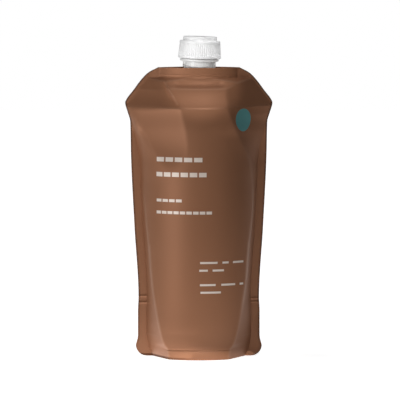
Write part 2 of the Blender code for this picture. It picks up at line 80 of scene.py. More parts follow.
def smooth_curve(points, at):
    """A smooth curve through points (position, value), which never overshoots them."""
    x = np.array([p[0] for p in points])
    y = np.array([p[1] for p in points])
    step = np.diff(x)
    slope = np.diff(y) / step
    tangent = np.zeros(len(x))
    same_way = slope[1:] * slope[:-1] > 0
    mean = 2 * slope[1:] * slope[:-1] / np.where(same_way, slope[1:] + slope[:-1], 1.0)
    tangent[1:-1] = np.where(same_way, mean, 0.0)
    tangent[0], tangent[-1] = slope[0], slope[-1]
    at = np.clip(at, x[0], x[-1])
    k = np.clip(np.searchsorted(x, at, side="right") - 1, 0, len(step) - 1)
    t = (at - x[k]) / step[k]
    rise = (1 + 2 * t) * (1 - t) ** 2 * y[k] + t**2 * (3 - 2 * t) * y[k + 1]
    lean = t * (1 - t) ** 2 * tangent[k] - t**2 * (1 - t) * tangent[k + 1]
    return rise + step[k] * lean


def fade(low, high, at):
    """A smooth step from 0 at low to 1 at high."""
    t = np.clip((at - low) / (high - low), 0, 1)
    return t * t * (3 - 2 * t)


def lower_of(a, b, blend):
    """The lower of two faces of film, with their crease rounded over a depth of blend."""
    h = np.clip(0.5 + 0.5 * (b - a) / blend, 0, 1)
    return b + (a - b) * h - blend * h * (1 - h)


def higher_of(a, b, blend):
    """The higher of two faces of film, rounded in the same way."""
    return -lower_of(-a, -b, blend)


def bell(at, middle, width):
    """A smooth hump of height 1."""
    return np.exp(-(((at - middle) / width) ** 2))


def half_width(z):
    """Half the pouch's width at a height: round foot, slight waist, full body, shoulder tips."""
    outline = [
        (0.0073, 0.0421), (0.0140, 0.0407), (0.0300, 0.0407), (0.0392, 0.0403), (0.0868, 0.04295),
        (0.1350, 0.0452), (0.1566, 0.0456), (0.1636, 0.0475), (0.1696, 0.0490), (0.1716, 0.0482),
        (0.1776, 0.0437), (0.1855, 0.0377), (0.1895, 0.0336), (0.1930, 0.0270),
    ]
    sag = np.clip(foot_corner - z, 0, foot_corner)
    return smooth_curve(outline, z) - foot_corner + np.sqrt(foot_corner**2 - sag**2)


def weld_line(z):
    """Where the side weld ends and the walls part."""
    foot_end = 0.0150
    at_foot = smooth_curve([(0.0, 0.0310), (0.0070, 0.0338), (foot_end, 0.0351)], z)
    above = fade(crease_height - 0.0360, crease_height - 0.0030, z)
    return np.where(z < foot_end, at_foot, half_width(z) - side_weld + side_weld * above)


def ridge_lines(z, shoulder_ridge):
    """Left and right ridges from the side welds down to the hem, where the gusset spreads the foot.

    On the front the right one also runs in to the shoulder's middle panel.
    """
    low = [
        (0.0, 0.0198), (0.0068, 0.0207), (0.0095, 0.0228), (0.0140, 0.0245), (0.0240, 0.0268),
        (0.0340, 0.0286), (0.0470, 0.0306), (0.0570, 0.0318), (0.0740, 0.0331), (0.0870, 0.0346),
        (0.1040, 0.0365), (0.1170, 0.0378),
    ]
    left = smooth_curve(low + [(crease_height - 0.0200, 0.0395), (crease_height, 0.0405)], z)
    right = left
    if shoulder_ridge:
        right = smooth_curve(low[:-2] + [
            (0.1000, 0.0360), (0.1150, 0.0362), (0.1300, 0.0340), (0.1480, 0.0268), (0.1587, 0.0220),
            (crease_height, panel_foot_right),
        ], z)
    ridge_margin = 0.0014
    limit = weld_line(z) - ridge_margin
    return np.minimum(left, limit), np.minimum(right, limit)


def round_body(x, z, depth, at_crease, shoulder_ridge=False):
    """The filled body: a round wall that meets the side welds, cut beside them by steep flanks."""
    ridge_rounding = 0.0005
    middle = smooth_curve([
        (0.0, hem_depth * depth / body_depth), (hem_height, depth - 0.0003), (0.0250, depth),
        (0.0700, depth - 0.0002), (crease_height - 0.0550, depth - 0.0012),
        (crease_height - 0.0150, at_crease + 0.0014), (crease_height, at_crease), (film_top, at_crease),
    ], z)
    weld = weld_line(z)
    radius = np.maximum(body_radius, (weld**2 + middle**2) / (2 * middle))
    radius = radius + (shoulder_radius - radius) * fade(crease_height - 0.0200, crease_height, z)
    arc = np.sqrt(np.maximum(radius**2 - x**2, 0)) - radius + middle
    left, right = ridge_lines(z, shoulder_ridge)
    ridge = np.where(x < 0, left, right)
    at_ridge = np.sqrt(radius**2 - ridge**2) - radius + middle
    flank = film_edge_half + (at_ridge - film_edge_half) * (weld - np.abs(x)) / (weld - ridge)
    return lower_of(arc, flank, ridge_rounding), middle


def boat_half_at(x):
    """Half the boat's thickness, full in the middle and thin at its two tips."""
    share = np.clip(np.abs(x) / boat_half_length, 0, 1)
    return np.maximum(boat_half_thickness * (1 - share**boat_fullness), boat_tip)


def over_boat(wall, x, z):
    """The wall hugs the spout's boat in the top weld and is held off by the boat's foot."""
    opening_slope, foot_slope, foot_gap = 2.2, 2.5, 0.0010
    opening_rounding, foot_rounding = 0.0005, 0.0002
    proud = boat_half_at(x) + film_wall
    over = film_edge_half + proud * (1 - fade(-0.0020, 0.0075, np.abs(x) - boat_half_length))
    opening = over + opening_slope * np.maximum(weld_height - z, 0)
    held_off = over - foot_slope * np.maximum(boat_foot - foot_gap - z, 0)
    return higher_of(lower_of(wall, opening, opening_rounding), held_off, foot_rounding)


def front_wall(x, z):
    """The front: a round body with a flat facet on the left, under three panels that lean back."""
    facet_edge, facet_cut, facet_turn = 0.0125, 0.0010, 0.12
    edge_run_in, run_out_from, run_out_blend, run_out_slope = 0.0090, 0.026, 0.0035, 0.16
    left_slope, right_slope, side_lean = 0.60, 0.69, 0.52
    panel_roundness, panel_hollow, step_slope = 6.5, 0.0009, 1.9
    left_rounding, right_rounding = 0.0004, 0.0007
    body, middle = round_body(x, z, body_depth, crease_depth, shoulder_ridge=True)
    down = np.maximum(crease_height - z, 0)
    up = z - crease_height

    # The facet lies level with the left panel at the crease, and its edge runs in towards the middle
    # until the facet runs out
    facet_slope = left_slope - facet_turn * fade(0.0, 0.045, down)
    edge_shift = edge_run_in * fade(-0.030, 0.040, down) - edge_run_in * fade(-0.030, 0.040, 0.0)
    run_out = run_out_blend * np.log1p(np.exp((down - run_out_from) / run_out_blend))
    facet = middle - facet_cut + run_out_slope * run_out + facet_slope * (x + facet_edge - edge_shift)
    facet_rounding = 0.0006 + 0.0020 * fade(0.030, 0.039, -x)
    body = lower_of(body, facet, facet_rounding)

    # The middle panel swells over the crease, and a step parts it from the left panel
    rise = weld_height - crease_height
    fall = (crease_depth - boat_half_thickness - film_wall - 0.0003) / rise
    swell = smooth_curve([
        (-0.02, 0.0), (0.0, 0.0), (0.0122, 0.0017), (0.0162, -0.0001), (rise, 0.0), (0.03, 0.0),
    ], up)
    middle_panel = crease_depth - fall * up - panel_roundness * x**2 + swell
    edge = panel_foot_left + (panel_top_left - panel_foot_left) * np.clip(up / rise, 0, 1)
    hollow = panel_hollow * np.sin(np.clip(up / 0.012, 0, 1) * math.pi)
    left = crease_depth - facet_cut + left_slope * (x + facet_edge) - side_lean * up - hollow
    step = crease_depth - fall * up - panel_roundness * edge**2 + swell + step_slope * (x - edge)
    left = higher_of(left, step, left_rounding)
    right_foot = crease_depth - panel_roundness * panel_foot_right**2
    right = right_foot - right_slope * (x - panel_foot_right) - side_lean * up
    shoulder = lower_of(lower_of(middle_panel, left, left_rounding), right, right_rounding)
    crease_rounding = 0.0006 + 0.0010 * fade(0.018, 0.036, -x)
    return np.maximum(over_boat(lower_of(body, shoulder, crease_rounding), x, z), film_edge_half)


def back_wall(x, z):
    """The back: the same body under a shoulder of three plain panels."""
    at_crease, panel_roundness, rounding = 0.0230, 6.5, 0.0012
    side_reach, side_slope, side_lean = 0.0103, 0.64, 0.50
    body, _ = round_body(x, z, body_depth, at_crease)
    up = z - crease_height
    fall = (at_crease - boat_half_thickness) / (weld_height - crease_height)
    middle_panel = at_crease - fall * up - panel_roundness * x**2
    side_panel = at_crease + side_reach - side_slope * np.abs(x) - side_lean * up
    shoulder = lower_of(middle_panel, side_panel, rounding)
    return np.maximum(over_boat(lower_of(body, shoulder, rounding), x, z), film_edge_half)


def crinkles(x, z, seed):
    """Small waves of the filled film: long soft ones, and short ones beside the side welds."""
    soft_height, soft_across, soft_up = 0.00028, 38, 17
    fine_height, fine_across, fine_up = 0.00022, 30, 150
    soft = np.zeros_like(x)
    fine = np.zeros_like(x)
    for at in np.ndindex(x.shape):
        soft[at] = noise.noise(Vector((x[at] * soft_across + seed, z[at] * soft_up, seed * 3.1)))
        fine[at] = noise.noise(Vector((x[at] * fine_across + seed * 2, z[at] * fine_up, seed)))
    low_enough = fade(0.004, 0.012, z) * (1 - fade(0.150, 0.160, z))
    beside = bell(np.abs(x), weld_line(z) - 0.0030, 0.0042) * low_enough
    return soft_height * soft + fine_height * fine * beside


def front_marks(x, z):
    """Weld lines, notches at the gusset's ends, tack welds low on the sides, and a dent at the top."""
    groove_depth, bead_height, hem_groove_depth = 0.00022, 0.00012, 0.00030
    notch_height, right_notch_share, tack_depth, tack_side = 0.00050, 0.7, 0.00055, 0.0371
    hollow_depth, dent_depth = 0.0004, 0.00100
    side = np.abs(x)

    # The top weld's groove and bead, and the hem's groove
    across = fade(-0.0262, -0.0250, x) * (1 - fade(0.0215, 0.0230, x))
    top_groove = groove_depth * bell(z, weld_height + 0.0010, 0.00045)
    top_bead = bead_height * bell(z, weld_height + 0.0019, 0.0005)
    hem_across = fade(-0.0235, -0.0205, x) * (1 - fade(0.0205, 0.0235, x))
    hem_groove = hem_groove_depth * bell(z, 0.0068 - 0.5 * x**2, 0.00045) * hem_across

    # Two notches at each end of the gusset, and a tack weld below them
    notch_left = (bell(z, 0.0402, 0.0005) + bell(z, 0.0359, 0.0006)) * fade(0.0325, 0.0345, side)
    notch_right = (bell(z, 0.0385, 0.0006) + bell(z, 0.0362, 0.0005)) * fade(0.0330, 0.0350, side)
    notches = notch_height * (notch_left * (x < 0) + right_notch_share * notch_right * (x > 0))
    tack_line = 0.0222 + 0.4 * (side - tack_side)
    tack = tack_depth * bell(side, tack_side, 0.0009) * bell(z, tack_line, 0.0042)

    # A hollow at the top of the left panel, and a dent along the top of the middle one
    hollow = hollow_depth * bell(x, -0.0245, 0.0050) * bell(z, weld_height - 0.0060, 0.0030)
    dent_across = fade(-0.0175, -0.0130, x) * (1 - fade(0.0130, 0.0190, x))
    dent_line = weld_height - 0.0044 - 0.0006 * np.cos(x * 130)
    dent = dent_depth * bell(z, dent_line, 0.0016) * dent_across
    return across * (top_bead - top_groove) - hem_groove + notches - tack - hollow - dent


def side_bend(x, z):
    """How far the side welds are bent forwards.

    The left one swells a little below the shoulder's tip, and the right one turns back along its edge.
    """
    left_bend, right_bend = 0.0010, 0.0021
    swell = smooth_curve([
        (0.110, 0.0), (0.125, 0.2), (0.150, 0.8), (0.156, 1.0), (0.1705, 0.0), (0.190, 0.0),
    ], z)
    turned = np.clip((x - weld_line(z)) / side_weld, 0, 1)
    turned = turned * fade(0.010, 0.030, z) * (1 - fade(0.140, 0.156, z))
    return left_bend * swell * fade(0.0370, 0.0430, -x) - right_bend * turned


def row_heights():
    """The heights of the film's rows, closest where it has welds and creases."""
    foot = np.array([0.0, 0.0004, 0.0010, 0.0018, 0.0028, 0.0038, 0.0048])
    hem = np.linspace(0.0056, 0.0080, 9)
    low = np.linspace(0.0088, 0.0340, 30)
    waist = np.linspace(0.0346, 0.0412, 17)
    body = np.linspace(0.0422, crease_height - 0.0070, 84)
    near_crease = [np.linspace(-0.0060, -0.0012, 8), np.linspace(-0.0008, 0.0012, 7)]
    crease = crease_height + np.concatenate(near_crease)
    shoulder = np.linspace(crease_height + 0.0018, weld_height - 0.0010, 30)
    weld = np.linspace(weld_height - 0.0005, weld_height + 0.0030, 12)
    top = film_top - np.array([0.0031, 0.0024, 0.0016, 0.0010, 0.0005, 0.0])
    return np.concatenate([foot, hem, low, waist, body, crease, shoulder, weld, top])


def guide_lines(z):
    """The lines that the columns follow: the lower ridges, then the edges of the middle panel."""
    left = [
        (0.0, 0.0225), (hem_height, 0.0235), (0.0210, 0.0265), (0.0446, 0.0310), (0.0700, 0.0335),
        (0.1010, 0.0330), (crease_height - 0.0200, 0.0220), (crease_height, -panel_foot_left),
        (weld_height, -panel_top_left), (film_top, -panel_top_left * 0.9),
    ]
    right = [
        (0.0, 0.0220), (hem_height, 0.0225), (0.0210, 0.0270), (0.0446, 0.0314), (0.0700, 0.0338),
        (0.1010, 0.0335), (crease_height - 0.0200, 0.0250), (crease_height, panel_foot_right),
        (weld_height, panel_top_right), (film_top, panel_top_right * 0.9),
    ]
    return -smooth_curve(left, z), smooth_curve(right, z)


def column_places(z):
    """Where each row's columns are: even within the welds and between the guide lines."""
    edge = half_width(z)
    weld = np.minimum(weld_line(z), edge - 0.0016)
    left, right = guide_lines(z)
    left, right = np.maximum(left, -weld + 0.0030), np.minimum(right, weld - 0.0030)
    even = [(-edge, -weld, 7), (-weld, left, 26), (left, right, 66), (right, weld, 26), (weld, edge, 7)]
    stretches = [a[:, None] + (b - a)[:, None] * np.arange(count) / count for a, b, count in even]
    return np.concatenate([*stretches, edge[:, None]], axis=1)


def shaped_grid(name, places):
    """A primitive grid whose rows and columns are laid on the given places."""
    rows, columns = places.shape[:2]
    bpy.ops.mesh.primitive_grid_add(x_subdivisions=columns - 1, y_subdivisions=rows - 1, size=1)
    grid = bpy.context.object
    grid.name = name
    flat = np.zeros(len(grid.data.vertices) * 3)
    grid.data.vertices.foreach_get("co", flat)
    flat = flat.reshape(-1, 3)
    column = np.rint((flat[:, 0] + 0.5) * (columns - 1)).astype(int)
    row = np.rint((flat[:, 1] + 0.5) * (rows - 1)).astype(int)
    grid.data.vertices.foreach_set("co", places[row, column].ravel())
    return grid, row, column


def joined_piece(name, grids, smooth_angle):
    """One object from its grids, welded where their borders meet, with its faces turned outwards."""
    bpy.ops.object.select_all(action="DESELECT")
    for grid in grids:
        grid.select_set(True)
    bpy.context.view_layer.objects.active = grids[0]
    if len(grids) > 1:
        bpy.ops.object.join()
    bpy.ops.object.mode_set(mode="EDIT")
    bpy.ops.mesh.select_all(action="SELECT")
    bpy.ops.mesh.remove_doubles(threshold=0.00001)
    bpy.ops.mesh.normals_make_consistent(inside=False)
    bpy.ops.object.mode_set(mode="OBJECT")
    bpy.ops.object.shade_smooth_by_angle(angle=math.radians(smooth_angle))
    piece = bpy.context.object
    piece.name = name
    return piece


def add_attribute(grid, name, values):
    """A value for each point of a grid, for its material to read."""
    made = grid.data.attributes.new(name, "FLOAT", "POINT")
    made.data.foreach_set("value", np.ascontiguousarray(values, dtype=np.float32))


def creasing(wall, x, z):
    """How sharply the film is folded outwards there, from 0 to 1."""
    reach = 0.0008
    here = wall(x, z)
    across = here - (wall(x - reach, z) + wall(x + reach, z)) / 2
    along = here - (wall(x, z - reach) + wall(x, np.minimum(z + reach, film_top))) / 2
    return np.clip((np.maximum(across, along) - 0.00002) / 0.00016, 0, 1)


z_rows = row_heights()
x_places = column_places(z_rows)
z_places = np.repeat(z_rows[:, None], x_places.shape[1], axis=1)
from_side = half_width(z_places) - np.abs(x_places)
wave_inset, foot_inset = 0.004, 0.006
inner = np.clip(from_side / wave_inset, 0, 1) * fade(0, foot_inset, z_places)
inner = inner * (1 - fade(weld_height - wave_inset, weld_height, z_places))
front_depth = front_wall(x_places, z_places) + crinkles(x_places, z_places, 1.7) * inner
front_depth = np.maximum(front_depth + front_marks(x_places, z_places), film_edge_half)
back_depth = back_wall(x_places, z_places) + crinkles(x_places, z_places, 6.3) * inner
back_depth = np.maximum(back_depth, film_edge_half)
front_depth = front_depth + side_bend(x_places, z_places)
back_depth = back_depth - side_bend(x_places, z_places)
reach = np.hypot(np.diff(x_places, axis=1), np.diff(front_depth, axis=1))
along_film = np.concatenate([np.zeros((len(z_rows), 1)), np.cumsum(reach, axis=1)], axis=1)
middle_column = np.array([np.interp(0.0, x, u) for x, u in zip(x_places, along_film)])
along_film = along_film - middle_column[:, None]

front_places = np.stack([x_places, -front_depth, z_places], axis=2)
back_places = np.stack([x_places, back_depth, z_places], axis=2)
front_grid, row, column = shaped_grid("film_pouch", front_places)
add_attribute(front_grid, "print_across", along_film[row, column])
add_attribute(front_grid, "print_up", z_places[row, column])
add_attribute(front_grid, "fold", creasing(front_wall, x_places, z_places)[row, column])
# Where the side edges get a painted shade, within about 1.4 mm of the outline
rim = np.clip(1.4 - from_side / 0.0010, 0, 1)
add_attribute(front_grid, "rim", rim[row, column])
back_grid, row, column = shaped_grid("film_back", back_places[:, ::-1])
add_attribute(back_grid, "print_across", np.ones(len(row)))
add_attribute(back_grid, "print_up", z_places[row, column])
add_attribute(back_grid, "fold", creasing(back_wall, x_places, z_places)[:, ::-1][row, column])
add_attribute(back_grid, "rim", rim[:, ::-1][row, column])

# The cut edges of the two walls along the sides
parts = [front_grid, back_grid]
for name, index in (("edge_left", 0), ("edge_right", -1)):
    edges = np.stack([back_places[:, index], front_places[:, index]], axis=1)
    parts.append(shaped_grid(name, edges if index == 0 else edges[:, ::-1])[0])

# The gusset between the two hems: it rests on the floor in the middle and arches up behind each hem
patch_across, patch_deep = 0.0130, 0.0085
arch_height, fold_height, fold_reach = 0.0042, 0.0040, 0.012
hem_front, hem_back = front_depth[0], back_depth[0]
wall = np.minimum(film_wall, 0.4 * np.minimum(hem_front, hem_back))
spread = np.linspace(-1, 1, 31)
to_front, to_back = (hem_front - wall)[:, None], (hem_back - wall)[:, None]
gusset_y = spread * np.where(spread[None] < 0, to_front, to_back)
gusset_x = np.repeat(x_places[0][:, None], len(spread), axis=1)
room = (np.minimum(hem_front, hem_back) - film_wall)[:, None]
patch = np.hypot(gusset_x / patch_across, gusset_y / patch_deep)
near_hem = 1 - 0.35 * fade(0.0, 1.0, (np.abs(gusset_y) - room * 0.2) / np.maximum(room * 0.7, 1e-6))
arch = arch_height * fade(1.0, 2.1, patch) * near_hem
fold_line = fold_height * fade(0.014, 0.026, np.abs(gusset_x))
fold_line = fold_line * (1 - np.clip(np.abs(gusset_y) / fold_reach, 0, 1))
gusset_z = (arch + fold_line) * fade(0.0, 0.006, room - 0.003)
gusset = np.stack([gusset_x, gusset_y, gusset_z], axis=2)
gusset = np.concatenate([front_places[0][:, None], gusset, back_places[0][:, None]], axis=1)
parts.append(shaped_grid("gusset", gusset)[0])

# The top edge, with the pocket between the walls that holds the spout's boat
top_x = x_places[-1]
pocket_gap = 0.0003
pocket = boat_half_at(top_x) + pocket_gap
inside = np.abs(top_x) <= boat_half_length + pocket_gap
pocket_half = np.where(inside, pocket, film_edge_half * 0.3)
pocket_floor = np.where(inside, boat_foot - 0.0024, film_top)
level_top = np.full_like(top_x, film_top)
pocket_lines = [
    (-pocket_half, level_top), (-pocket_half, pocket_floor),
    (pocket_half, pocket_floor), (pocket_half, level_top),
]
top_lines = [np.stack([top_x, y, z], axis=1) for y, z in pocket_lines]
top_lines = [front_places[-1], *top_lines, back_places[-1]]
parts.append(shaped_grid("top_edge", np.stack(top_lines, axis=1)[::-1])[0])

film_pouch = joined_piece("film_pouch", parts, smooth_angle=50)


def shader_material(name, colour, roughness):
    """A material with a Principled shader of one colour, ready for its own nodes."""
    material = bpy.data.materials.new(name)
    material.use_nodes = True
    shader = material.node_tree.nodes["Principled BSDF"]
    shader.inputs["Base Color"].default_value = (*colour, 1)
    shader.inputs["Roughness"].default_value = roughness
    return material, shader


def add_node(tree, kind, **settings):
    """A node whose settings are its own properties."""
    node = tree.nodes.new(kind)
    for name, value in settings.items():
        setattr(node, name, value)
    return node


def math_node(tree, operation, first, second=None, clamp=False):
    """A Math node fed by sockets or numbers."""
    node = add_node(tree, "ShaderNodeMath", operation=operation, use_clamp=clamp)
    for place, value in enumerate((first, second)):
        if isinstance(value, (int, float)):
            node.inputs[place].default_value = value
        elif value is not None:
            tree.links.new(value, node.inputs[place])
    return node.outputs[0]


def mix_colour(tree, share, first, second):
    """A colour mix, whose colours are sockets or plain colours."""
    node = add_node(tree, "ShaderNodeMix", data_type="RGBA")
    tree.links.new(share, node.inputs["Factor"])
    for place, value in ((6, first), (7, second)):
        if isinstance(value, tuple):
            node.inputs[place].default_value = (*value, 1)
        else:
            tree.links.new(value, node.inputs[place])
    return node.outputs[2]


def new_group(name, inputs, outputs):
    """A node group with named float inputs and outputs, and its two end nodes."""
    group = bpy.data.node_groups.new(name, "ShaderNodeTree")
    for label, value in inputs:
        kind = "NodeSocketVector" if value is None else "NodeSocketFloat"
        socket = group.interface.new_socket(name=label, in_out="INPUT", socket_type=kind)
        if value is not None:
            socket.default_value = value
    for label in outputs:
        group.interface.new_socket(name=label, in_out="OUTPUT", socket_type="NodeSocketFloat")
    return group, group.nodes.new("NodeGroupInput"), group.nodes.new("NodeGroupOutput")


def place_group(tree, group, values):
    """One group node in a material, with its own values or links."""
    node = add_node(tree, "ShaderNodeGroup", node_tree=group)
    for label, value in values.items():
        if isinstance(value, (int, float)):
            node.inputs[label].default_value = value
        else:
            tree.links.new(value, node.inputs[label])
    return node


# Surface grain that film and moulded plastic share: a slow change of tone and a fine texture
surface_grain, ends, results = new_group(
    "surface_grain", [("Vector", None), ("Tone Scale", 20.0), ("Grain Scale", 2000.0)], ["Tone", "Grain"]
)
for label, scale, detail in (("Tone", "Tone Scale", 3.0), ("Grain", "Grain Scale", 4.0)):
    texture = add_node(surface_grain, "ShaderNodeTexNoise")
    texture.inputs["Detail"].default_value = detail
    surface_grain.links.new(ends.outputs["Vector"], texture.inputs["Vector"])
    surface_grain.links.new(ends.outputs[scale], texture.inputs["Scale"])
    surface_grain.links.new(texture.outputs["Fac"], results.inputs[label])

# One printed row of plain blocks: a bar cut by narrow gaps into equal blocks
print_row, ends, results = new_group(
    "print_row",
    [("Across", 0.0), ("Up", 0.0), ("Middle Across", 0.0), ("Middle Up", 0.0), ("Half Length", 0.01),
     ("Half Height", 0.002), ("Blocks", 1.0)],
    ["Mask"],
)
print_softness = 0.00008
block_half_share, block_sharpness = 0.42, 50.0
half_length, half_height = ends.outputs["Half Length"], ends.outputs["Half Height"]
off_middle = math_node(print_row, "SUBTRACT", ends.outputs["Across"], ends.outputs["Middle Across"])
room_across = math_node(print_row, "SUBTRACT", half_length, math_node(print_row, "ABSOLUTE", off_middle))
in_length = math_node(print_row, "DIVIDE", room_across, print_softness, True)
off_line = math_node(print_row, "SUBTRACT", ends.outputs["Up"], ends.outputs["Middle Up"])
room_up = math_node(print_row, "SUBTRACT", half_height, math_node(print_row, "ABSOLUTE", off_line))
in_height = math_node(print_row, "DIVIDE", room_up, print_softness, True)

# How many blocks have been passed from the row's left end
passed = math_node(print_row, "ADD", off_middle, half_length)
passed = math_node(print_row, "DIVIDE", passed, half_length)
passed = math_node(print_row, "MULTIPLY", passed, 0.5)
passed = math_node(print_row, "MULTIPLY", passed, ends.outputs["Blocks"])
block = math_node(print_row, "FRACT", passed)
from_block = math_node(print_row, "ABSOLUTE", math_node(print_row, "SUBTRACT", block, 0.5))
room_in_block = math_node(print_row, "SUBTRACT", block_half_share, from_block)
in_block = math_node(print_row, "MULTIPLY", room_in_block, block_sharpness, True)
mask = math_node(print_row, "MINIMUM", math_node(print_row, "MINIMUM", in_length, in_height), in_block)
print_row.links.new(mask, results.inputs["Mask"])

film_colour = (0.290, 0.126, 0.063)
# A lighter film colour, for the random tone and for the painted highlight along the folds
lighter_tone_and_highlight = (0.360, 0.185, 0.110)
# A dark brown, painted along the side edges as shade
painted_edge_shade = (0.050, 0.024, 0.016)
teal = (0.130, 0.345, 0.345)
cream = (0.860, 0.760, 0.680)
film_material, film_shader = shader_material("matte_brown_film", film_colour, 0.5)
film_shader.inputs["Specular IOR Level"].default_value = 0.22
film_shader.inputs["Metallic"].default_value = 0.28
tree = film_material.node_tree
place = add_node(tree, "ShaderNodeTexCoord").outputs["Object"]
across = add_node(tree, "ShaderNodeAttribute", attribute_name="print_across").outputs["Fac"]
up = add_node(tree, "ShaderNodeAttribute", attribute_name="print_up").outputs["Fac"]
fold = add_node(tree, "ShaderNodeAttribute", attribute_name="fold").outputs["Fac"]
rim = add_node(tree, "ShaderNodeAttribute", attribute_name="rim").outputs["Fac"]
grain = place_group(tree, surface_grain, {"Vector": place, "Tone Scale": 26.0, "Grain Scale": 2600.0})

# Each bar of print: its left and right end as seen from the front, its height, half height and blocks
print_rows = [
    (-0.0283, 0.0030, 0.1329, 0.0015, 5), (-0.0284, 0.0057, 0.1230, 0.0015, 6),
    (-0.0282, -0.0108, 0.1058, 0.0010, 4), (-0.0282, 0.0091, 0.0979, 0.0010, 9),
    (-0.0004, 0.0136, 0.0649, 0.0007, 1), (0.0152, 0.0202, 0.0649, 0.0007, 1),
    (0.0218, 0.0302, 0.0649, 0.0007, 1),
    (-0.0003, 0.0066, 0.0598, 0.0007, 1), (0.0083, 0.0174, 0.0598, 0.0007, 1),
    (-0.0004, 0.0122, 0.0502, 0.0007, 1), (0.0138, 0.0250, 0.0502, 0.0007, 1),
    (0.0268, 0.0297, 0.0502, 0.0007, 1),
    (-0.0004, 0.0160, 0.0452, 0.0007, 1),
]


def film_length(x, z):
    """How far along the film a point of the front is from the middle, at a height."""
    row = int(np.argmin(np.abs(z_rows - z)))
    return float(np.interp(x, x_places[row], along_film[row]))


tone_share, fold_highlight_share, rim_shade_share, print_share = 0.22, 0.45, 0.85, 0.85
tone = grain.outputs["Tone"]
colour = mix_colour(tree, math_node(tree, "MULTIPLY", tone, tone_share), film_colour, lighter_tone_and_highlight)
# Lighter along the outward folds: a painted highlight standing for the sheen on the creases
colour = mix_colour(tree, math_node(tree, "MULTIPLY", fold, fold_highlight_share), colour, lighter_tone_and_highlight)
# Darker along the side edges: painted shade
colour = mix_colour(tree, math_node(tree, "MULTIPLY", rim, rim_shade_share), colour, painted_edge_shade)
for left, right, height, half_height, blocks in print_rows:
    start, end = film_length(left, height), film_length(right, height)
    printed = place_group(tree, print_row, {
        "Across": across, "Up": up, "Middle Across": (start + end) / 2, "Middle Up": height,
        "Half Length": (end - start) / 2, "Half Height": half_height, "Blocks": float(blocks),
    })
    shown = math_node(tree, "MULTIPLY", printed.outputs["Mask"], print_share)
    colour = mix_colour(tree, shown, colour, cream)

# The teal dot, a little narrower than high on the film
dot_x, dot_height, dot_radius, dot_narrowing = 0.0294, 0.1587, 0.00755, 1.14
from_dot = math_node(tree, "SUBTRACT", across, film_length(dot_x, dot_height))
from_dot = math_node(tree, "MULTIPLY", from_dot, dot_narrowing)
above_dot = math_node(tree, "SUBTRACT", up, dot_height)
squares = [math_node(tree, "MULTIPLY", part, part) for part in (from_dot, above_dot)]
dot_distance = math_node(tree, "SQRT", math_node(tree, "ADD", *squares))
room_in_dot = math_node(tree, "SUBTRACT", dot_radius, dot_distance)
in_dot = math_node(tree, "DIVIDE", room_in_dot, print_softness, True)
colour = mix_colour(tree, in_dot, colour, teal)
tree.links.new(colour, film_shader.inputs["Base Color"])

# The film is a little smoother along its creases
smooth_film, tone_roughness, fold_sheen = 0.44, 0.10, 0.08
rough = math_node(tree, "ADD", math_node(tree, "MULTIPLY", tone, tone_roughness), smooth_film)
rough = math_node(tree, "SUBTRACT", rough, math_node(tree, "MULTIPLY", fold, fold_sheen))
tree.links.new(rough, film_shader.inputs["Roughness"])
bump = add_node(tree, "ShaderNodeBump")
bump.inputs["Strength"].default_value = 0.12
bump.inputs["Distance"].default_value = 0.00005
tree.links.new(grain.outputs["Grain"], bump.inputs["Height"])
tree.links.new(bump.outputs["Normal"], film_shader.inputs["Normal"])
film_pouch.data.materials.clear()
film_pouch.data.materials.append(film_material)
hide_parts("pouch")
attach(film_pouch, "pouch")


# Spout: one white moulding of a boat with welding grooves, which the film is welded round, a neck,
# the flange by which the pouch hangs while it is filled, and a mouth with a thread of two starts
neck_root, neck_radius = 0.0102, 0.01095
flange_radius, flange_low, flange_high = 0.0128, film_top + 0.0041, film_top + 0.0057
mouth_radius, mouth_top, bore_radius = 0.0100, film_top + 0.0149, 0.0080
outlet_radius, outlet_foot = 0.0095, boat_foot - 0.0010
thread_lead, thread_starts, thread_turns, thread_crest = 0.0060, 2, 0.83, 0.0113
thread_foot = flange_high + 0.0018
bevel = 0.0004
groove_count, groove_half = 3, 0.0006
head_lean = math.radians(1.9)
head_pivot = Vector((0, 0, film_top - 0.0070))
head_place = (
    Matrix.Translation(head_pivot) @ Matrix.Rotation(head_lean, 4, "Y") @ Matrix.Translation(-head_pivot)
)
around = np.linspace(0, 2 * math.pi, 193)
boat_x = boat_half_length * np.cos(around)
boat_y = boat_half_at(boat_x) * np.sign(np.round(np.sin(around), 9))


def on_head(points):
    """The places of head pieces, which all lean with the spout."""
    turn = np.array(head_place)
    return points @ turn[:3, :3].T + turn[:3, 3]


def turned_rings(profile, angles, radius_at=None):
    """Rings of points up a profile of (radius, height)."""
    profile = np.array(profile)
    radius = np.repeat(profile[:, :1], len(angles), axis=1)
    height = np.repeat(profile[:, 1:], len(angles), axis=1)
    if radius_at is not None:
        radius = radius_at(radius, height, angles)
    return np.stack([radius * np.cos(angles), radius * np.sin(angles), height], axis=2)


def thread_rings(root, crest, first_height, start_angle, turns):
    """One start of a right-handed thread: a ridge on the wall of radius root, faded at both ends."""
    steps_a_turn, end_fade, root_inset = 96, 0.30, 0.00025
    angles = np.linspace(0, 2 * math.pi * turns, int(steps_a_turn * turns) + 1)
    share = np.minimum(fade(0, end_fade, angles), fade(0, end_fade, angles[-1] - angles))
    inset = root_inset if crest > root else -root_inset
    across = np.array([-0.00075, -0.00062, -0.00030, 0.00030, 0.00062, 0.00075])
    out = np.array([-inset, 0.0, 1.0, 1.0, 0.0, -inset])
    reach = np.where(np.abs(out) < 1, root + out, root + (crest - root) * share[:, None])
    reach = np.where(out == 0.0, root, reach)
    height = first_height + thread_lead * angles[:, None] / (2 * math.pi) + across
    spin = angles[:, None] + start_angle
    return np.stack([reach * np.cos(spin), reach * np.sin(spin), height], axis=2)


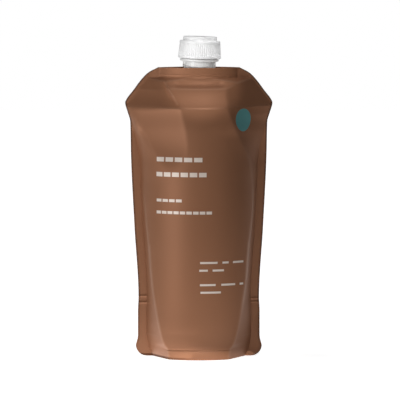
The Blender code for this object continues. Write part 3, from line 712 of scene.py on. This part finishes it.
def boat_ring(height, shrink):
    """One level of the boat's outline, drawn in by shrink but never thinner than its tips allow."""
    fit = 1 - shrink / boat_half_length
    y = np.sign(boat_y) * np.maximum(np.abs(boat_y) - shrink, np.minimum(np.abs(boat_y), 0.0004))
    return np.stack([boat_x * fit, y, np.full_like(boat_x, height)], axis=1)


def plastic(name, colour, roughness, light, piece):
    """Moulded plastic that lets a little light in, with a fine, slightly uneven skin."""
    material, shader = shader_material(name, colour, roughness)
    shader.inputs["Subsurface Weight"].default_value = light
    shader.inputs["Subsurface Radius"].default_value = (1, 1, 1)
    shader.inputs["Subsurface Scale"].default_value = 0.004
    tree = material.node_tree
    place = add_node(tree, "ShaderNodeTexCoord").outputs["Object"]
    scales = {"Tone Scale": 90.0, "Grain Scale": 3200.0}
    grain = place_group(tree, surface_grain, {"Vector": place, **scales})
    unevenness = math_node(tree, "MULTIPLY", grain.outputs["Tone"], 0.10)
    rough = math_node(tree, "ADD", unevenness, roughness - 0.05)
    tree.links.new(rough, shader.inputs["Roughness"])
    bump = add_node(tree, "ShaderNodeBump")
    bump.inputs["Strength"].default_value = 0.10
    bump.inputs["Distance"].default_value = 0.00003
    tree.links.new(grain.outputs["Grain"], bump.inputs["Height"])
    tree.links.new(bump.outputs["Normal"], shader.inputs["Normal"])
    piece.data.materials.clear()
    piece.data.materials.append(material)


boat_rings = [boat_ring(boat_foot, 0.0002), boat_ring(boat_foot + 0.0002, 0.0)]
boat_height = boat_top - boat_foot
groove = [
    (0.0, 0.0), (0.0001, 0.0002), (0.0003, 0.0004), (0.0009, 0.0004), (0.0011, 0.0002), (0.0012, 0.0),
]
for count in range(groove_count):
    low = boat_foot + boat_height * (count + 0.6) / (groove_count + 0.2) - groove_half
    boat_rings += [boat_ring(low + rise, depth) for rise, depth in groove]
boat_rings += [boat_ring(boat_top - 0.0002, 0.0), boat_ring(boat_top, 0.0002)]
upper = turned_rings([
    (neck_root + 0.0004, boat_top), (neck_root + 0.0001, boat_top + 0.0001),
    (neck_root, boat_top + 0.0004), (neck_root, film_top),
    (neck_radius - 0.0001, film_top + 0.0003), (neck_radius, film_top + 0.0005),
    (neck_radius, flange_low - 0.0003), (neck_radius + 0.0001, flange_low - 0.0001),
    (neck_radius + 0.0004, flange_low), (flange_radius - bevel, flange_low),
    (flange_radius - 0.0001, flange_low + 0.0001), (flange_radius, flange_low + bevel),
    (flange_radius, flange_high - bevel), (flange_radius - 0.0001, flange_high - 0.0001),
    (flange_radius - bevel, flange_high), (mouth_radius + 0.0003, flange_high),
    (mouth_radius, flange_high + 0.0003), (mouth_radius, mouth_top - bevel),
    (mouth_radius - 0.0001, mouth_top - 0.0001), (mouth_radius - bevel, mouth_top),
    (bore_radius + bevel, mouth_top), (bore_radius + 0.0001, mouth_top - 0.0001),
    (bore_radius, mouth_top - bevel), (bore_radius, film_top),
    (bore_radius, outlet_foot + 0.0002), (bore_radius + 0.0002, outlet_foot),
    (outlet_radius - 0.0002, outlet_foot), (outlet_radius, outlet_foot + 0.0002),
    (outlet_radius, boat_foot),
], around)
rings = np.concatenate([np.array(boat_rings), upper, boat_ring(boat_foot, 0.0002)[None]])
grids = [shaped_grid("spout_moulding", on_head(rings))[0]]
for start in range(thread_starts):
    turned = 2 * math.pi * start / thread_starts
    thread = thread_rings(mouth_radius, thread_crest, thread_foot, turned, thread_turns)
    grids.append(shaped_grid("spout_thread", on_head(thread))[0])
spout = joined_piece("spout_moulding", grids, smooth_angle=32)
plastic("white_spout_plastic", (0.88, 0.88, 0.87), roughness=0.40, light=0.45, piece=spout)
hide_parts("spout")
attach(spout, "pouch")


# Cap: one white moulding with fine grip ribs, a raised crown and, inside, a thread that runs between
# the spout's and a bead that holds the sealing disc
cap_foot = flange_high + 0.0003
cap_top = cap_foot + 0.0117
cap_crown = cap_top + 0.0028
cap_ceiling = mouth_top + 0.0016
cap_foot_radius, cap_top_radius, crown_radius, cap_bore = 0.0142, 0.0135, 0.0113, 0.0118
cap_thread_crest, cap_thread_foot = 0.0105, thread_foot + 0.0007
cap_thread_lag, cap_thread_turns = 0.133, 0.90
rib_count, rib_depth, rib_margin, rib_run_out = 60, 0.00028, 0.0014, 0.0005
skirt_low, skirt_high, skirt_inside = cap_foot + rib_margin, cap_top - rib_margin, 0.0130


def ribbed(radius, height, angles):
    """Fine ribs with flat crests on the skirt, run out at both ends."""
    skirt = fade(skirt_low, skirt_low + rib_run_out, height)
    skirt = skirt * (1 - fade(skirt_high - rib_run_out, skirt_high, height)) * (radius > skirt_inside)
    wave = fade(-0.1, 0.75, np.cos(angles * rib_count))
    return radius - rib_depth * (1 - wave) * skirt


cap_angles = np.linspace(0, 2 * math.pi, 8 * rib_count + 1)
skirt_levels = [
    (cap_foot_radius + (cap_top_radius - cap_foot_radius) * t, skirt_low + (skirt_high - skirt_low) * t)
    for t in (0.0, 0.02, 0.04, 0.06, 0.3, 0.6, 0.94, 0.96, 0.98, 1.0)
]
cap_rings = turned_rings([
    (0.0, cap_crown - 0.0016), (0.0060, cap_crown - 0.0016), (0.0091, cap_crown - 0.0016),
    (0.0093, cap_crown - 0.0018), (0.0093, cap_ceiling), (cap_bore - 0.0002, cap_ceiling),
    (cap_bore, cap_ceiling - 0.0002), (cap_bore, mouth_top + 0.0001),
    (cap_bore - 0.0004, mouth_top - 0.0002), (cap_bore - 0.0004, mouth_top - 0.0004),
    (cap_bore, mouth_top - 0.0007), (cap_bore, cap_foot + 0.0005), (cap_bore + 0.0003, cap_foot),
    (cap_foot_radius - 0.0004, cap_foot), (cap_foot_radius - 0.0001, cap_foot + 0.0001),
    (cap_foot_radius, cap_foot + 0.0004), *skirt_levels, (cap_top_radius, cap_top - 0.0006),
    (cap_top_radius - 0.0001, cap_top - 0.0003), (cap_top_radius - 0.0003, cap_top - 0.0001),
    (cap_top_radius - 0.0006, cap_top), (crown_radius + 0.0004, cap_top),
    (crown_radius + 0.0001, cap_top + 0.0001), (crown_radius, cap_top + 0.0004),
    (crown_radius, cap_crown - 0.0006), (crown_radius - 0.0001, cap_crown - 0.0003),
    (crown_radius - 0.0003, cap_crown - 0.0001), (crown_radius - 0.0006, cap_crown),
    (0.0060, cap_crown), (0.0, cap_crown),
], cap_angles, ribbed)
grids = [shaped_grid("ribbed_cap", on_head(cap_rings))[0]]
for start in range(thread_starts):
    turned = 2 * math.pi * (start / thread_starts - cap_thread_lag)
    thread = thread_rings(cap_bore, cap_thread_crest, cap_thread_foot, turned, cap_thread_turns)
    grids.append(shaped_grid("cap_thread", on_head(thread))[0])
ribbed_cap = joined_piece("ribbed_cap", grids, smooth_angle=32)
plastic("white_cap_plastic", (0.90, 0.90, 0.90), roughness=0.38, light=0.35, piece=ribbed_cap)
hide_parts("cap")
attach(ribbed_cap, "cap")


# Sealing disc: pale foam between two skins, cut from sheet, with the ring that the spout's rim
# presses in it
disc_radius, disc_low, disc_bevel = 0.0112, mouth_top + 0.0003, 0.00006
disc_high = disc_low + 0.0010
ring_roof = disc_low + 0.00008
disc_rings = turned_rings([
    (0.0, disc_low), (0.0079, disc_low), (0.0082, ring_roof), (0.0094, ring_roof), (0.0097, disc_low),
    (disc_radius - disc_bevel, disc_low), (disc_radius, disc_low + disc_bevel),
    (disc_radius, disc_high - disc_bevel), (disc_radius - disc_bevel, disc_high), (0.0, disc_high),
], np.linspace(0, 2 * math.pi, 145))
grids = [shaped_grid("sealing_disc", on_head(disc_rings))[0]]
sealing_disc = joined_piece("sealing_disc", grids, smooth_angle=32)
plastic("pale_foam", (0.74, 0.75, 0.76), roughness=0.70, light=0.10, piece=sealing_disc)
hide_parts("cap_liner")
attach(sealing_disc, "liner")


# Studio: a white floor under an even fill, whose glow is painted a little dimmer beside the foot as
# painted shade, so the soft shadow there shows. Low lamps at the left and the front light the film
# from below, a black flag keeps its right side dark, and snooted lamps pick out the film's shoulder
# and hem and the white cap.
floor_half = 3.0
glow_at_foot, glow_gain, glow_reach = 0.72, 0.22, 0.075
bpy.ops.mesh.primitive_plane_add(size=2 * floor_half, location=(0, 0, 0))
floor = bpy.context.object
floor.name = "studio_floor"
floor_material, floor_shader = shader_material("studio_white", (0.92, 0.92, 0.92), 0.9)
tree = floor_material.node_tree
floor_shader.inputs["Specular IOR Level"].default_value = 0.0
rays = add_node(tree, "ShaderNodeLightPath")
seen = math_node(tree, "ADD", rays.outputs["Is Camera Ray"], rays.outputs["Is Glossy Ray"])
seen = math_node(tree, "ADD", seen, rays.outputs["Is Transmission Ray"], True)
floor_shader.inputs["Emission Color"].default_value = (1, 1, 1, 1)
# Painted shade: the glow is weaker near a point just right of the foot, so the soft shadow there shows
from_foot = add_node(tree, "ShaderNodeVectorMath", operation="DISTANCE")
tree.links.new(add_node(tree, "ShaderNodeTexCoord").outputs["Object"], from_foot.inputs[0])
from_foot.inputs[1].default_value = (0.080, 0.0, 0.0)
far = math_node(tree, "DIVIDE", from_foot.outputs["Value"], glow_reach, True)
glow = math_node(tree, "ADD", math_node(tree, "MULTIPLY", far, glow_gain), glow_at_foot)
tree.links.new(math_node(tree, "MULTIPLY", seen, glow), floor_shader.inputs["Emission Strength"])
floor.data.materials.append(floor_material)

upright = (0, math.radians(90), 0)
bpy.ops.mesh.primitive_plane_add(size=1, location=(0.60, -0.35, 0.16), rotation=upright)
flag = bpy.context.object
flag.name = "black_flag"
flag.scale = (0.30, 1.10, 1.0)
flag_material, flag_shader = shader_material("black_flag", (0.010, 0.010, 0.010), 0.9)
flag_shader.inputs["Specular IOR Level"].default_value = 0.0
flag.data.materials.append(flag_material)
flag.visible_camera = False

# The even fill, and the plain white that the camera sees behind the pouch
world = bpy.data.worlds.new("studio")
world.use_nodes = True
bpy.context.scene.world = world
tree = world.node_tree
rays = add_node(tree, "ShaderNodeLightPath")
fill = tree.nodes["Background"]
fill.inputs["Color"].default_value = (1, 1, 1, 1)
fill.inputs["Strength"].default_value = 0.18
backdrop = add_node(tree, "ShaderNodeBackground")
backdrop.inputs["Color"].default_value = (1, 1, 1, 1)
seen = math_node(tree, "ADD", rays.outputs["Is Camera Ray"], rays.outputs["Is Transmission Ray"], True)
choose = add_node(tree, "ShaderNodeMixShader")
tree.links.new(seen, choose.inputs[0])
tree.links.new(fill.outputs[0], choose.inputs[1])
tree.links.new(backdrop.outputs[0], choose.inputs[2])
tree.links.new(choose.outputs[0], tree.nodes["World Output"].inputs["Surface"])


def placed_lamp(name, light, place, aim):
    """A lamp with this light, which faces the point aim."""
    lamp = bpy.data.objects.new(name, light)
    bpy.context.scene.collection.objects.link(lamp)
    lamp.location = place
    lamp.rotation_euler = (Vector(aim) - Vector(place)).to_track_quat("-Z", "Y").to_euler()
    return lamp


def soft_lamp(name, place, aim, width, height, power):
    """A soft box that faces the point aim."""
    light = bpy.data.lights.new(name, "AREA")
    light.shape = "RECTANGLE"
    light.size, light.size_y = width, height
    light.energy = power
    return placed_lamp(name, light, place, aim)


def narrow_lamp(name, place, aim, reach, power, blend=0.45):
    """A snooted lamp whose round pool of light has the radius reach at the point aim."""
    light = bpy.data.lights.new(name, "SPOT")
    light.energy = power
    light.shadow_soft_size = 0.004
    light.spot_size = 2 * math.atan(reach / (Vector(aim) - Vector(place)).length)
    light.spot_blend = blend
    return placed_lamp(name, light, place, aim)


soft_lamp("key_left", (-1.15, -0.96, 0.12), (0, 0, 0.09), 0.6, 0.3, 0.9)
soft_lamp("top_box", (0.0, -0.15, 1.5), (0, 0, 0.15), 0.5, 0.4, 2.7)
narrow_lamp("shoulder_lamp", (0.05, -1.30, 1.05), (0.002, 0.0, 0.1745), 0.0285, 34.0)
narrow_lamp("hem_lamp", (0.10, -1.20, 0.040), (0.006, -0.026, -0.0800), 0.0868, 52.0, blend=0.045)
cap_middle, cap_pool = (0.0008, 0.0, 0.2068), 0.0172
for name, place, power in (
    ("cap_left", (-1.15, -0.95, 0.60), 7.0), ("cap_right", (1.15, -0.95, 0.60), 7.0),
    ("cap_side", (1.50, 0.10, 0.60), 26.0), ("cap_top", (0.10, -0.60, 1.50), 29.0),
):
    narrow_lamp(name, place, cap_middle, cap_pool, power)

# Low lamps that face straight up
for name, place, width, depth, power in (
    ("floor_bounce", (-0.42, -0.40, 0.0015), 0.30, 0.30, 4.1),
    ("glow_left", (-0.055, -0.030, 0.0015), 0.10, 0.17, 0.070),
    ("glow_front", (0.005, -0.080, 0.0015), 0.16, 0.08, 0.040),
):
    card = soft_lamp(name, place, (place[0], place[1], 1), width, depth, power)
    card.visible_camera = False

# The camera, a little above the pouch and at the picture's scale
camera_height, camera_distance = 0.295, 2.4
picture_scale, picture_pixels = 0.000665, 400
picture_middle, aim_height = 0.0008, 0.1044
sensor = 36.0
camera_data = bpy.data.cameras.new("camera")
camera_data.sensor_width = sensor
camera_data.lens = sensor * camera_distance / (picture_pixels * picture_scale)
camera = bpy.data.objects.new("camera", camera_data)
bpy.context.scene.collection.objects.link(camera)
camera.location = (picture_middle, -camera_distance, camera_height)
aim = Vector((picture_middle, 0, aim_height))
camera.rotation_euler = (aim - camera.location).to_track_quat("-Z", "Y").to_euler()
bpy.context.scene.camera = camera
bpy.context.scene.view_settings.view_transform = "Standard"
